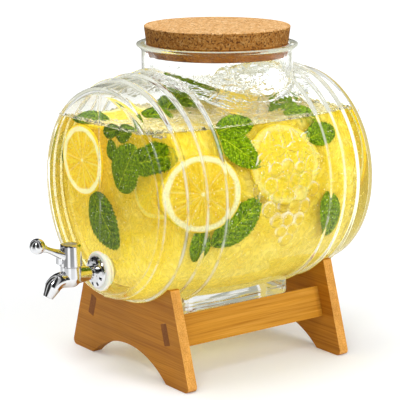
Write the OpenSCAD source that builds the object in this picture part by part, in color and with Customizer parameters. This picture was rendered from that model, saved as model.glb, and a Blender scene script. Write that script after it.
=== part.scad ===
// Glass barrel drink dispenser: a moulded glass barrel lying in a bamboo cradle stand,
// with a cork lid in its neck and a chromed tap with a turning lever in its front end.
// Millimetres. +Z is up, the barrel lies along Y and the tap points to -Y.

/* [Glass barrel] */
// Height of the barrel's axis above the floor
axis_z = 150; // [146:0.5:156]
// Half of the barrel's length, axis middle to flat end
half_len = 109.5; // [106:0.5:120]
// Outer radius of the belly at its middle
belly_r = 97; // [95:0.1:98.5]
// Outer radius of the belly where the end shoulder starts
band_r = 86; // [84:0.1:88]
// Radius of the rounded shoulder at each end
shoulder_r = 7; // [6:0.5:10]
// Thickness of the glass round the belly
glass_wall = 4.5; // [3.5:0.1:5.5]
// Thickness of the glass in the flat ends
end_wall = 5; // [4:0.1:7]
// Distance of the inner pair of hoops from the barrel's middle
hoop_1 = 53; // [50:0.1:58]
// Distance of the middle pair of hoops
hoop_2 = 70.2; // [66:0.1:71.5]
// Distance of the outer pair of hoops
hoop_3 = 87.1; // [87:0.1:90]
// How far each hoop stands above the belly
hoop_h = 2.4; // [1:0.1:3]
// Half of a hoop's width
hoop_half = 2.6; // [1.5:0.1:2.8]

/* [Neck and lid] */
// How far the neck stands behind the barrel's middle
neck_shift = 8; // [0:0.5:9]
// Outer radius of the neck
neck_r = 62.6; // [58:0.1:64]
// Height of the top of the glass rim above the floor
rim_z = 263.5; // [258:0.5:275]
// Outer radius of the flared rim
rim_r = 67; // [65:0.1:70]
// Height of the flared part of the rim
rim_h = 7; // [5:0.5:10]
// Radius of the cork at its top
cork_r = 60.5; // [59.5:0.1:61]
// Radius of the cork at its bottom
cork_foot_r = 57.6; // [55:0.1:58]
// Height of the cork
cork_h = 24; // [20:0.5:30]
// How far the cork stands above the rim
cork_up = 14.5; // [8:0.5:18]
// Gap between the cork and the glass
cork_gap = 0.3; // [0.2:0.05:0.5]
// Width of the small bevel round the cork's edges
cork_bevel = 0.8; // [0.4:0.1:1.5]

/* [Glass foot] */
// Half width of the foot moulded under the barrel
foot_half_x = 40; // [34:0.5:41]
// Half length of that foot
foot_half_y = 57; // [45:0.5:64]
// How far the foot reaches below the belly
foot_drop = 4; // [2:0.1:6]
// Corner radius of the foot
foot_corner = 10; // [6:0.5:14]

/* [Stand] */
// Height of the two end panels
panel_h = 79.5; // [76:0.5:82]
// Half width of a panel at the floor
panel_foot = 85; // [82:0.5:90]
// Half width of a panel at its top
panel_top = 60; // [59:0.5:63]
// Thickness of a panel
panel_t = 8.8; // [8:0.1:9]
// Distance from the middle to a panel's outer face
panel_out = 84.2; // [83.4:0.1:84.2]
// Rounding of a panel's corners at the floor
foot_round = 4; // [2:0.5:6]
// Rounding of a panel's corners at its top
top_round = 1.2; // [0.5:0.1:1.5]
// Half width of the arch under a panel, at the floor
arch_half = 53.5; // [45:0.5:58]
// Height of that arch
arch_h = 20.5; // [14:0.5:26]
// Gap between the glass and its cradle
cradle_gap = 0.3; // [0.2:0.05:0.5]
// Thickness of the side rails
rail_t = 8; // [6:0.5:9]
// Width of the side rails, up the splay
rail_w = 25.8; // [20:0.2:28]
// Height of the middle of the rails above the floor
rail_z = 41.5; // [38:0.5:44]
// Distance from the middle to the middle of a rail, at that height
rail_x = 53; // [51:0.5:56]
// Width of the tenons that pass through the panels
tenon_w = 18; // [12:0.5:19]
// Gap round a tenon
tenon_gap = 0.1; // [0.05:0.05:0.3]

/* [Tap body] */
// Distance of the shank's axis in from the edge of the barrel's end
tap_in = 23.2; // [21.6:0.1:30]
// Radius of the threaded shank
shank_r = 6; // [5:0.1:7]
// How far the shank reaches in behind the glass's outer face
shank_in = 20; // [18:0.5:26]
// Depth of the shank's thread
thread_d = 0.5; // [0.3:0.05:0.7]
// Distance between thread ridges
thread_p = 1.5; // [1.2:0.1:2.5]
// Gap round the shank in the glass
hole_gap = 0.6; // [0.3:0.1:0.9]
// Gap round the shank in the rings that slide on it
ring_gap = 0.06; // [0.03:0.01:0.1]
// Radius of the liquid way through the tap
way_r = 2.8; // [2:0.1:3]
// Distance from the glass to the upright axis of the valve
valve_u = 28.9; // [27:0.1:31]
// Outer radius of the valve housing
housing_r = 8.4; // [8.2:0.1:9.2]
// Height of the housing's top above the shank's axis
housing_top = 8.6; // [8:0.1:10]
// Radius of the bore in the housing
housing_bore = 6.4; // [6.2:0.05:6.5]
// Thickness of the collar in front of the flange
tap_collar_t = 1.6; // [1:0.1:3]
// Radius of the spout where it leaves the valve
spout_root_r = 7.2; // [6:0.1:7.4]
// Radius of the spout at its bend
spout_r = 6.5; // [5:0.1:6.8]
// Radius of the spout at its mouth
mouth_r = 4.2; // [3.8:0.1:5]
// Distance from the valve's axis to the start of the bend
bend_du = 8.5; // [7:0.1:12]
// Radius of the bend
spout_bend = 10.5; // [8:0.1:14]
// How far the spout turns down
spout_fall = 58; // [40:1:75]
// Length of the tip after the bend
spout_tip = 8.6; // [6:0.1:14]

/* [Tap rings] */
// Radius of the soft washer outside the glass
washer_r = 16.3; // [14:0.1:17]
// Thickness of that washer
washer_t = 4; // [3:0.1:5]
// Radius of the chromed flange
flange_r = 13.3; // [12:0.1:14]
// Thickness of the flange at its middle
flange_t = 3.5; // [3:0.1:4.5]
// Thickness of the flange at its rim
flange_rim_t = 1; // [0.6:0.1:1.5]
// Radius of the flange's flat middle
flange_flat_r = 8; // [7.5:0.1:9]
// Number of dimples round the flange
dimples = 9; // [6:1:12]
// Radius of the circle that the dimples lie on
dimple_ring_r = 10.2; // [9.6:0.1:10.6]
// Radius of the ball shape that makes a dimple
dimple_r = 1.5; // [1.2:0.1:1.7]
// How deep a dimple's middle lies under the flange's top
dimple_sink = 1.1; // [0.8:0.1:1.4]
// Bevel round the soft washers
soft_bevel = 1.2; // [0.6:0.1:1.4]
// Radius of the washer inside the glass
inner_washer_r = 13.5; // [11:0.1:14]
// Thickness of that washer
inner_washer_t = 3; // [2:0.1:4]
// Thickness of the metal washer under the lock nut
nut_washer_t = 1; // [0.6:0.1:1.6]
// Radius of the lock nut over its corners
nut_r = 11; // [9.5:0.1:12]
// Thickness of the lock nut
nut_t = 6; // [4:0.1:8]

/* [Valve] */
// Radius of the turning plug
plug_r = 4.9; // [4.6:0.05:5]
// Running gap between moving parts of the valve
run_gap = 0.05; // [0.02:0.01:0.1]
// Radius of the cross bore in the plug
plug_way_r = 2.5; // [1.8:0.1:2.6]
// Radius of the plug's stem
stem_r = 3.5; // [3.2:0.1:4]
// Width of the square drive on the stem
drive_w = 4.6; // [4:0.1:4.8]
// Radius of the wire of the stem's sealing ring
o_ring_r = 0.42; // [0.3:0.01:0.45]

/* [Handle] */
// Outer radius of the handle's hub at its top
hub_r = 8.5; // [8:0.1:9.5]
// Outer radius of the handle's hub at its bottom
hub_foot_r = 9.3; // [8.6:0.1:10]
// Height of the handle's hub
hub_h = 17.6; // [17:0.1:24]
// Gap between the hub and the housing
hub_gap = 0.4; // [0.2:0.1:0.8]
// Gap round the square drive, the screw and the cap in the hub
fit_gap = 0.1; // [0.05:0.01:0.15]
// Radius of the cap in the hub's top
cap_r = 5.6; // [4.5:0.1:6]
// Thickness of that cap
cap_t = 1.4; // [1:0.1:2]
// Radius of the handle screw's head
screw_head_r = 2.9; // [2.4:0.1:3.5]
// Height of the handle screw's head
screw_head_h = 2.4; // [1.8:0.1:3]
// Radius of the handle screw's shank
screw_r = 1.5; // [1.2:0.05:1.6]
// Distance from the glass to the middle of the ball
ball_u = 59.3; // [55:0.1:63]
// Height of the middle of the ball above the shank's axis
ball_z = 29.2; // [27:0.1:32]
// Radius of the ball
ball_r = 6.4; // [5:0.1:8]
// How far the ball's collar stands out of it
ball_collar_h = 0.9; // [0.5:0.1:2]
// How steeply the lever rises to the ball
lever_rise = 24.8; // [22:0.1:28]
// Radius of the lever's bar
bar_r = 2.6; // [2.2:0.1:3.4]
// Length of the lever's slim bar
bar_long = 6; // [4:0.1:8]
// Length of the lever's widening root
root_long = 15; // [12:0.1:16]
// Radius of the lever where it enters the hub
lever_root_r = 5.6; // [4:0.1:6]
// Thickness of the small tab under the lever
tab_t = 4; // [2:0.1:6]
// Height of that tab
tab_h = 6; // [3:0.1:7]
// How far the tab stands out of the hub
tab_out = 3.2; // [1:0.1:5]

/* [Hidden] */
$fn = 96;
// How far a cutting shape runs past what it cuts
over = 1;

// Derived places of the barrel and the stand
hoop_y = [hoop_1, hoop_2, hoop_3];
shoulder_y = half_len - shoulder_r;
cavity_y = half_len - end_wall;
cork_z = rim_z + cork_up - cork_h;
foot_z = axis_z - belly_r - foot_drop;
splay = atan((panel_foot - panel_top)/panel_h);
arch_r = (pow(arch_half, 2) + pow(arch_h, 2))/(2*arch_h);
// Shift that brings the middle of the whole outline, ball to back end, to y = 0
origin_shift = (ball_u + ball_r)/2;

// Derived heights of the tap, from the shank's axis up
tap_z = axis_z - band_r + tap_in;
housing_low = -0.4;
port_z = -1.4;
bore_low = -4.6;
seal_low = bore_low + 0.1;
plug_low = seal_low + 0.2;
plug_top = 4;
groove_z = 6.4;
hub_z = housing_top + hub_gap;
stem_top = hub_z + 2.6;
hub_web_z = stem_top + 0.3;
drive_top = stem_top + 4.9;
screw_seat = drive_top + 2.6;
cap_z = hub_z + hub_h - cap_t - 0.2;

// The stud in the ball, and where the lever ends short of the ball's middle
stud_r = 1.2;
stud_start = 2.5;
lever_end = ball_r + ball_collar_h + 0.1;

// Height of the belly over the axis at a place along it, without the hoops
function belly(y) = belly_r - (belly_r - band_r)*pow(y/shoulder_y, 2);
// The extra height that the nearest hoop gives there
function hoop(y) = max([for (h = hoop_y)
    let (d = min(1, abs(abs(y) - h)/hoop_half)) hoop_h*(1 + cos(180*d))/2]);
// Places along one half of the barrel, close together on the hoops
hoop_places = [for (h = hoop_y, k = [-4:4]) h + k*hoop_half/4];
half_places = concat([0, hoop_1/3, 2*hoop_1/3], hoop_places, [(hoop_3 + hoop_half + shoulder_y)/2]);
// A quarter of a circle round [r, y], as [radius, y] points
function quarter(r, y, rad, steps) = [for (k = [0:steps])
    [r + rad*cos(90*k/steps), y + rad*sin(90*k/steps)]];
// The same points on the other half of the barrel, in turn
function flip(points) = [for (k = [len(points) - 1:-1:0]) [points[k][0], -points[k][1]]];

// Puts the finished model's origin under the middle of its whole outline
module placed() {
    translate([0, origin_shift, 0]) children();
}

// Turns an upright shape so that its top points to +Y
module to_back() {
    rotate([-90, 0, 0]) children();
}

// Turns an upright shape so that its top points to -Y
module to_front() {
    rotate([90, 0, 0]) children();
}

// The tap's own frame: the shank's axis meets the glass's outer face at its origin
module at_tap() {
    translate([0, -half_len, tap_z]) children();
}

// The upright axis of the valve and the handle
module at_valve() {
    at_tap() translate([0, -valve_u, 0]) children();
}

// A round elbow that starts upwards at the origin and bends towards -Y
module elbow(bend, r, turn) {
    translate([0, -bend, 0]) rotate([90, 0, 90])
        rotate_extrude(angle = turn) translate([bend, 0]) circle(r = r);
}

// Moves a shape to the far end of such an elbow
module past_elbow(bend, turn) {
    translate([0, -bend*(1 - cos(turn)), bend*sin(turn)]) rotate([turn, 0, 0]) children();
}

// Glass barrel

module barrel_outside() {
    side = [for (y = half_places) [belly(y) + hoop(y), y]];
    half = concat(side, quarter(band_r - shoulder_r, shoulder_y, shoulder_r, 8));
    to_back() rotate_extrude($fn = 144)
        polygon(concat([[0, -half_len]], flip(half), half, [[0, half_len]]));
}

module barrel_cavity() {
    inner_round = shoulder_r - glass_wall;
    end_r = belly(shoulder_y) - glass_wall - inner_round;
    side = [for (k = [0:4]) let (y = k*(shoulder_y - 4)/4) [belly(y) - glass_wall, y]];
    half = concat(side, quarter(end_r, cavity_y - inner_round, inner_round, 5));
    to_back() rotate_extrude($fn = 144)
        polygon(concat([[0, -cavity_y]], flip(half), half, [[0, cavity_y]]));
}

// Radius of the cork at a height above the floor
function cork_at(z) = cork_foot_r + (cork_r - cork_foot_r)*(z - cork_z)/cork_h;

module neck_outside() {
    root_z = axis_z + 20;
    flare_z = rim_z - rim_h;
    rotate_extrude($fn = 144) polygon([
        [0, root_z], [neck_r, root_z], [neck_r, flare_z],
        [neck_r + 0.6, flare_z + 1.2], [rim_r - 1.2, rim_z - 2.6], [rim_r - 0.2, rim_z - 1.7],
        [rim_r, rim_z - 1], [rim_r - 0.4, rim_z - 0.3], [rim_r - 1.2, rim_z], [0, rim_z]]);
}

module neck_bore() {
    low_r = cork_foot_r + cork_gap;
    top_r = cork_at(rim_z) + cork_gap;
    rotate_extrude($fn = 144) polygon([
        [0, axis_z], [low_r, axis_z], [low_r, cork_z], [top_r, rim_z],
        [top_r, rim_z + over], [0, rim_z + over]]);
}

module foot_block() {
    flat_x = foot_half_x - foot_corner;
    flat_y = foot_half_y - foot_corner;
    // High enough to end inside the glass of the belly all round
    block_h = foot_drop + belly_r - sqrt(pow(band_r, 2) - pow(foot_half_x, 2)) + 1;
    translate([0, 0, foot_z]) linear_extrude(block_h) {
        square([2*foot_half_x, 2*flat_y], center = true);
        square([2*flat_x, 2*foot_half_y], center = true);
        for (x = [-flat_x, flat_x], y = [-flat_y, flat_y])
            translate([x, y]) circle(r = foot_corner, $fn = 48);
    }
}

module glass_barrel() {
    color([0.86, 0.92, 0.86, 0.4]) difference() {
        union() {
            translate([0, 0, axis_z]) barrel_outside();
            translate([0, neck_shift, 0]) neck_outside();
            foot_block();
        }
        translate([0, 0, axis_z]) barrel_cavity();
        translate([0, neck_shift, 0]) neck_bore();
        at_tap() translate([0, -over, 0]) to_back()
            cylinder(h = end_wall + 2*over, r = shank_r + hole_gap);
    }
}

module cork_lid() {
    color("peru") translate([0, neck_shift, cork_z]) rotate_extrude($fn = 144) polygon([
        [0, 0], [cork_foot_r - cork_bevel, 0], [cork_foot_r, cork_bevel],
        [cork_r, cork_h - cork_bevel], [cork_r - cork_bevel, cork_h], [0, cork_h]]);
}

// Stand

// Points of a corner of radius r round [x, z], turning from angle a to angle b
function corner(x, z, r, a, b) = [for (k = [0:6])
    let (w = a + (b - a)*k/6) [x + r*cos(w), z + r*sin(w)]];

module panel_outline() {
    // The rounded corners' middles lie in from the leaning edge
    foot_x = panel_foot - foot_round*(1 + sin(splay))/cos(splay);
    top_x = panel_top - top_round*(1 - sin(splay))/cos(splay);
    right = concat(
        corner(foot_x, foot_round, foot_round, -90, splay),
        corner(top_x, panel_h - top_round, top_round, splay, 90));
    left = [for (k = [len(right) - 1:-1:0]) [-right[k][0], right[k][1]]];
    polygon(concat(right, left));
}

// The splayed place of a rail or of its slot, on the side given by 1 or -1
module at_rail(side) {
    mirror([side < 0 ? 1 : 0, 0, 0])
        translate([rail_x, 0, rail_z]) rotate([0, -splay, 0]) children();
}

// A panel with its outer face to -Y
module end_panel() {
    inner_r = belly(panel_out - panel_t) + cradle_gap;
    outer_r = belly(panel_out) + cradle_gap;
    slope = (inner_r - outer_r)/panel_t*over;
    cut_t = panel_t + 2*over;
    difference() {
        translate([0, -panel_out, 0]) to_back() mirror([0, 1, 0])
            linear_extrude(panel_t) panel_outline();
        translate([0, -panel_out - over, -(arch_r - arch_h)]) to_back()
            cylinder(h = cut_t, r = arch_r, $fn = 144);
        translate([0, -panel_out - over, axis_z]) to_back()
            cylinder(h = cut_t, r1 = outer_r - slope, r2 = inner_r + slope, $fn = 144);
        for (side = [-1, 1]) at_rail(side)
            translate([0, -panel_out + panel_t/2, 0])
                cube([rail_t + 2*tenon_gap, cut_t, tenon_w + 2*tenon_gap], center = true);
    }
}

module side_rail(side) {
    at_rail(side) {
        cube([rail_t, 2*(panel_out - panel_t), rail_w], center = true);
        cube([rail_t, 2*panel_out, tenon_w], center = true);
    }
}

module stand_front_panel() {
    color("burlywood") end_panel();
}

module stand_back_panel() {
    color("burlywood") mirror([0, 1, 0]) end_panel();
}

module stand_left_rail() {
    color("tan") side_rail(-1);
}

module stand_right_rail() {
    color("tan") side_rail(1);
}

// Tap body

// A threaded bar along Z, with its thread as ring-shaped ridges
module thread(long, r) {
    root = r - thread_d;
    turns = floor(long/thread_p);
    ridges = [for (k = [0:turns - 1]) each [[root, k*thread_p], [r, (k + 0.5)*thread_p]]];
    rotate_extrude() polygon(concat([[0, 0]], ridges,
        [[root, turns*thread_p], [root, long], [0, long]]));
}

// The spout from the valve to its mouth, or the way through it: root, elbow and tip.
// The straight pieces lap over the elbow's ends, with a hair's step in radius.
module spout_run(root, r, tip, tip_long, start = 0) {
    lap = 0.05;
    hair = 0.02;
    to_front() translate([0, port_z, valve_u]) {
        translate([0, 0, start]) cylinder(h = bend_du - start + lap, r1 = root, r2 = r + hair);
        translate([0, 0, bend_du]) {
            elbow(spout_bend, r, spout_fall);
            past_elbow(spout_bend, spout_fall) translate([0, 0, -lap])
                cylinder(h = tip_long + lap, r1 = r - hair, r2 = tip);
        }
    }
}

module tap_body() {
    clamp_u = washer_t + flange_t;
    color("silver") at_tap() difference() {
        union() {
            to_back() thread(shank_in, shank_r);
            to_front() {
                cylinder(h = clamp_u, r = shank_r);
                translate([0, 0, clamp_u]) cylinder(h = tap_collar_t, r = shank_r + 1);
                translate([0, 0, clamp_u + over])
                    cylinder(h = valve_u - clamp_u - over, r1 = shank_r - 0.6, r2 = spout_root_r);
            }
            translate([0, -valve_u, housing_low]) {
                cylinder(h = housing_top - housing_low, r = housing_r);
                sphere(r = housing_r);
            }
            spout_run(spout_root_r, spout_r, mouth_r, spout_tip);
        }
        to_front() translate([0, 0, -shank_in - over])
            cylinder(h = shank_in + over + valve_u, r = way_r);
        translate([0, -valve_u, bore_low]) cylinder(h = housing_r + housing_top, r = housing_bore);
        spout_run(way_r, way_r, way_r, spout_tip + over, start = plug_r);
    }
}

// Rings on the shank

// A flat ring along Z with bevelled outer edges
module ring(outer, inner, thick, bevel) {
    rotate_extrude() polygon([
        [inner, 0], [outer - bevel, 0], [outer, bevel],
        [outer, thick - bevel], [outer - bevel, thick], [inner, thick]]);
}

module tap_flange() {
    hole = shank_r + ring_gap;
    dome_w = flange_r - flange_flat_r;
    dome = [for (k = [1:8]) let (w = 90*k/8)
        [flange_flat_r + dome_w*cos(w), flange_rim_t + (flange_t - flange_rim_t)*sin(w)]];
    color("silver") at_tap() to_front() translate([0, 0, washer_t]) difference() {
        rotate_extrude() polygon(concat(
            [[hole, 0], [flange_r, 0], [flange_r, flange_rim_t]], dome, [[hole, flange_t]]));
        for (k = [0:dimples - 1]) rotate([0, 0, 360*(k + 0.5)/dimples])
            translate([dimple_ring_r, 0, flange_t - dimple_sink]) sphere(r = dimple_r, $fn = 32);
    }
}

module outer_washer() {
    color("whitesmoke") at_tap() to_front()
        ring(washer_r, shank_r + ring_gap, washer_t, soft_bevel);
}

// Places a ring inside the glass, a given depth behind the glass's inner face
module inside_glass(depth) {
    at_tap() translate([0, end_wall + depth, 0]) to_back() children();
}

module inner_washer() {
    color("whitesmoke") inside_glass(0)
        ring(inner_washer_r, shank_r + ring_gap, inner_washer_t, soft_bevel/2);
}

module nut_washer() {
    color("silver") inside_glass(inner_washer_t)
        ring(nut_r + 0.8, shank_r + ring_gap, nut_washer_t, nut_washer_t/5);
}

module lock_nut() {
    color("silver") inside_glass(inner_washer_t + nut_washer_t) difference() {
        cylinder(h = nut_t, r = nut_r, $fn = 6);
        translate([0, 0, -over]) cylinder(h = nut_t + 2*over, r = shank_r + ring_gap);
    }
}

// Valve

module valve_seal() {
    tall = plug_top - seal_low;
    color("gainsboro") at_valve() difference() {
        translate([0, 0, seal_low]) cylinder(h = tall, r = housing_bore - run_gap);
        translate([0, 0, seal_low - over]) cylinder(h = tall + 2*over, r = plug_r + run_gap);
        translate([0, housing_r, port_z]) to_front() cylinder(h = 2*housing_r, r = way_r);
    }
}

module bonnet_ring() {
    low = plug_top + 0.2;
    lip_t = 1.6;
    color("silver") at_valve() difference() {
        union() {
            translate([0, 0, low]) cylinder(h = housing_top - low, r = housing_bore - run_gap);
            translate([0, 0, housing_top]) cylinder(h = lip_t, r = housing_bore + 0.6);
        }
        translate([0, 0, low - over])
            cylinder(h = housing_top + lip_t - low + 2*over, r = stem_r + run_gap);
    }
}

module valve_plug() {
    groove_w = 2*o_ring_r + 0.26;
    groove_r = stem_r - 2*o_ring_r - 0.06;
    screw_deep = 8;
    color("lightgray") at_valve() difference() {
        union() {
            translate([0, 0, plug_low]) cylinder(h = plug_top - plug_low, r = plug_r);
            translate([0, 0, plug_low]) cylinder(h = stem_top - plug_low, r = stem_r);
            translate([-drive_w/2, -drive_w/2, plug_top]) cube([drive_w, drive_w, drive_top - plug_top]);
        }
        translate([-plug_r - over, 0, port_z]) rotate([0, 90, 0])
            cylinder(h = 2*(plug_r + over), r = plug_way_r);
        translate([0, 0, groove_z - groove_w/2]) difference() {
            cylinder(h = groove_w, r = stem_r + over);
            cylinder(h = groove_w, r = groove_r);
        }
        translate([0, 0, drive_top - screw_deep]) cylinder(h = screw_deep + over, r = screw_r + run_gap);
    }
}

module stem_o_ring() {
    color("dimgray") at_valve() translate([0, 0, groove_z])
        rotate_extrude() translate([stem_r - o_ring_r - 0.03, 0]) circle(r = o_ring_r, $fn = 24);
}

// Handle

// From the ball's middle, with the shape's top turned back down the lever
module along_lever() {
    at_tap() translate([0, -ball_u, ball_z]) rotate([-90 - lever_rise, 0, 0]) children();
}

// The lever from the ball back into the hub: a slim bar that widens to its root
module lever_arm() {
    widening = [for (k = [0:5]) let (t = k/5)
        [bar_r + (lever_root_r - bar_r)*pow(t, 1.4), lever_end + bar_long + t*root_long]];
    along_lever() rotate_extrude() polygon(concat(
        [[0, lever_end], [bar_r, lever_end]], widening, [[0, lever_end + bar_long + root_long]]));
}

module hub_outside() {
    foot_bevel = 0.4;
    round_r = 1.2;
    rotate_extrude() polygon([
        [0, 0], [hub_foot_r - foot_bevel, 0], [hub_foot_r, foot_bevel],
        [hub_r, hub_h - round_r], [hub_r - 0.3*round_r, hub_h - 0.3*round_r],
        [hub_r - round_r, hub_h], [0, hub_h]]);
}

module tap_handle() {
    tab_reach = hub_foot_r + tab_out;
    socket = drive_w + 2*fit_gap;
    color("silver") difference() {
        union() {
            at_valve() translate([0, 0, hub_z]) hub_outside();
            lever_arm();
            at_valve() translate([-tab_t/2, -tab_reach, hub_web_z])
                cube([tab_t, tab_reach, tab_h]);
            // Stud that holds the ball
            along_lever() translate([0, 0, stud_start]) cylinder(h = lever_end, r = stud_r);
        }
        at_valve() {
            translate([0, 0, hub_z - over])
                cylinder(h = hub_web_z - hub_z + over, r = housing_bore + 1);
            translate([-socket/2, -socket/2, hub_web_z - over])
                cube([socket, socket, drive_top + fit_gap - hub_web_z + over]);
            translate([0, 0, hub_web_z]) cylinder(h = hub_h, r = screw_r + fit_gap);
            translate([0, 0, screw_seat]) cylinder(h = hub_h, r = screw_head_r + 2*fit_gap);
            translate([0, 0, cap_z]) cylinder(h = hub_h, r = cap_r + fit_gap);
        }
    }
}

module lever_ball() {
    color("silver") along_lever() difference() {
        union() {
            sphere(r = ball_r);
            cylinder(h = ball_r + ball_collar_h, r = bar_r + 0.7);
        }
        translate([0, 0, stud_start - 1]) cylinder(h = 2*ball_r, r = stud_r + run_gap);
    }
}

module handle_screw() {
    shank_long = 7;
    slot_w = 0.8;
    slot_long = 4.4;
    slot_z = screw_seat + screw_head_h - 1;
    color("gray") at_valve() difference() {
        union() {
            translate([0, 0, screw_seat]) cylinder(h = screw_head_h, r = screw_head_r);
            translate([0, 0, drive_top - shank_long])
                cylinder(h = screw_seat + 1 - drive_top + shank_long, r = screw_r);
        }
        translate([-slot_long/2, -slot_w/2, slot_z]) cube([slot_long, slot_w, 2]);
        translate([-slot_w/2, -slot_long/2, slot_z]) cube([slot_w, slot_long, 2]);
    }
}

module handle_cap() {
    rim_w = 1.3;
    dish = 0.4;
    color("silver") at_valve() translate([0, 0, cap_z]) rotate_extrude() polygon([
        [0, 0], [cap_r, 0], [cap_r, cap_t - dish], [cap_r - dish, cap_t],
        [cap_r - rim_w, cap_t], [cap_r - rim_w - dish, cap_t - dish], [0, cap_t - dish]]);
}

placed() glass_barrel();
placed() cork_lid();
placed() stand_front_panel();
placed() stand_back_panel();
placed() stand_left_rail();
placed() stand_right_rail();
placed() tap_body();
placed() tap_flange();
placed() outer_washer();
placed() inner_washer();
placed() nut_washer();
placed() lock_nut();
placed() valve_seal();
placed() bonnet_ring();
placed() valve_plug();
placed() stem_o_ring();
placed() tap_handle();
placed() lever_ball();
placed() handle_screw();
placed() handle_cap();
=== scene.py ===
"""Looks for the glass barrel drink dispenser: glass, cork, bamboo and chrome, and the drink inside."""

import math
import random

import bmesh
import bpy
from mathutils import Matrix, Vector, noise


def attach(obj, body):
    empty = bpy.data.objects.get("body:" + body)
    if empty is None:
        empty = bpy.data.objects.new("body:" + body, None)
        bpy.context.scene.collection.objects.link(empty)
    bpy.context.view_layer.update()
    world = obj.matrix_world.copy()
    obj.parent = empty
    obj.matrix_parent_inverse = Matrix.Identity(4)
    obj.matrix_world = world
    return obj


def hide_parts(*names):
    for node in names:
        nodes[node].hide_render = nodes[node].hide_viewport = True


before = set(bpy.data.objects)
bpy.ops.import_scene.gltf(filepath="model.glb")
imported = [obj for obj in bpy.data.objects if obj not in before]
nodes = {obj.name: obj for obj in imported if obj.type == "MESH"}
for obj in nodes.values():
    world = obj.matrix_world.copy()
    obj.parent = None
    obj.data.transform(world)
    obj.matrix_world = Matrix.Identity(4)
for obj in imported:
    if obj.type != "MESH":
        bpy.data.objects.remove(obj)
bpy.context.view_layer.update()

# Sizes in millimetres, as in the part's source
AXIS_Y = 32.85
AXIS_Z = 150.0
HALF = 109.5
BELLY_R = 97.0
BAND_R = 86.0
SHOULDER_R = 7.0
WALL = 4.5
END_WALL = 5.0
HOOPS = (53.0, 70.2, 87.1)
HOOP_H = 2.4
HOOP_HALF = 2.6
NECK_Y = AXIS_Y + 8.0
NECK_R = 62.6
RIM_Z = 263.5
RIM_R = 67.0
RIM_H = 7.0
CORK_Z = 254.0
BORE_LOW_R = 57.9
BORE_TOP_R = 59.05
INNER_ROUND = 3.0
NECK_FILLET = 3.5
FOOT_X = 40.0
FOOT_Y = 57.0
FOOT_CORNER = 10.0
FOOT_LOW = 49.0
FOOT_TOP = 74.0
FOOT_SOFT = 3.0
TAP_Z = 87.2
HOLE_R = 6.6
LEVEL = 206.0
SEAM_H = 0.5
SEAM_WIDE = 0.8

SHOULDER_Y = HALF - SHOULDER_R
INSIDE_Y = HALF - END_WALL
MM = 0.001
QUARTER = math.pi / 2


# Small helpers

def new_object(name, verts, faces, smooth=True):
    """A mesh object from points in millimetres."""
    me = bpy.data.meshes.new(name)
    me.from_pydata([Vector(v) * MM for v in verts], [], faces)
    me.update()
    if smooth:
        me.polygons.foreach_set("use_smooth", [True] * len(me.polygons))
    ob = bpy.data.objects.new(name, me)
    bpy.context.scene.collection.objects.link(ob)
    return ob


def tidy_normals(ob):
    bm = bmesh.new()
    bm.from_mesh(ob.data)
    bmesh.ops.remove_doubles(bm, verts=bm.verts, dist=1e-7)
    bmesh.ops.recalc_face_normals(bm, faces=bm.faces)
    bm.to_mesh(ob.data)
    bm.free()
    return ob


def strips(rows, n, first=0):
    """Faces between rings of n points each."""
    faces = []
    for j in range(rows - 1):
        low = first + j * n
        high = low + n
        for k in range(n):
            m = (k + 1) % n
            faces.append((low + k, low + m, high + m, high + k))
    return faces


def skin(name, verts, n):
    """A closed skin over rings of n points each, with one flat face at either end."""
    faces = strips(len(verts) // n, n)
    faces.append(tuple(reversed(range(n))))
    faces.append(tuple(range(len(verts) - n, len(verts))))
    return tidy_normals(new_object(name, verts, faces))


def sheet(name, verts, n):
    """An open sheet over rows of n points each."""
    faces = [(i * n + k, i * n + k + 1, (i + 1) * n + k + 1, (i + 1) * n + k)
             for i in range(len(verts) // n - 1) for k in range(n - 1)]
    return new_object(name, verts, faces)


def lathe(name, profile, angles, place):
    """A closed surface of revolution. A radius of zero makes a pole."""
    verts = []
    rows = []
    for r, h in profile:
        if r < 1e-6:
            rows.append([len(verts)])
            verts.append(place(0.0, h, 0.0))
        else:
            rows.append(list(range(len(verts), len(verts) + len(angles))))
            verts.extend(place(r, h, a) for a in angles)
    faces = []
    n = len(angles)
    for low, high in zip(rows, rows[1:]):
        for k in range(n):
            m = (k + 1) % n
            if len(low) == 1:
                faces.append((low[0], high[m], high[k]))
            elif len(high) == 1:
                faces.append((low[k], low[m], high[0]))
            else:
                faces.append((low[k], low[m], high[m], high[k]))
    return tidy_normals(new_object(name, verts, faces))


def combine(base, others, operation):
    """Joins or cuts meshes and leaves the result in base."""
    for other in others:
        mod = base.modifiers.new("step", "BOOLEAN")
        mod.operation = operation
        mod.solver = "EXACT"
        mod.object = other
        graph = bpy.context.evaluated_depsgraph_get()
        made = bpy.data.meshes.new_from_object(base.evaluated_get(graph))
        base.modifiers.clear()
        old = base.data
        base.data = made
        bpy.data.meshes.remove(old)
        bpy.data.objects.remove(other)
    return base


def even_angles(count):
    return [2 * math.pi * k / count for k in range(count)]


def smooth_step(x):
    x = max(0.0, min(1.0, x))
    return x * x * (3 - 2 * x)


def belly(y):
    return BELLY_R - (BELLY_R - BAND_R) * (y / SHOULDER_Y) ** 2


def hoop(y):
    near = min(abs(abs(y) - h) / HOOP_HALF for h in HOOPS)
    return HOOP_H * (1 + math.cos(math.pi * min(1.0, near))) / 2


def seam(x):
    """The faint ridge that the two halves of the mould leave."""
    return SEAM_H * math.exp(-(x / SEAM_WIDE) ** 2)


def place_round(r, h, a, axis_z=AXIS_Z):
    """A point round an axis along the barrel."""
    return (r * math.cos(a), AXIS_Y + h, axis_z + r * math.sin(a))


def place_upright(r, h, a):
    """A point round the neck's axis."""
    return (r * math.cos(a), NECK_Y + r * math.sin(a), h)


# The plain bunch of grapes moulded on the barrel's right side: u along the barrel, v up round it

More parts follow.
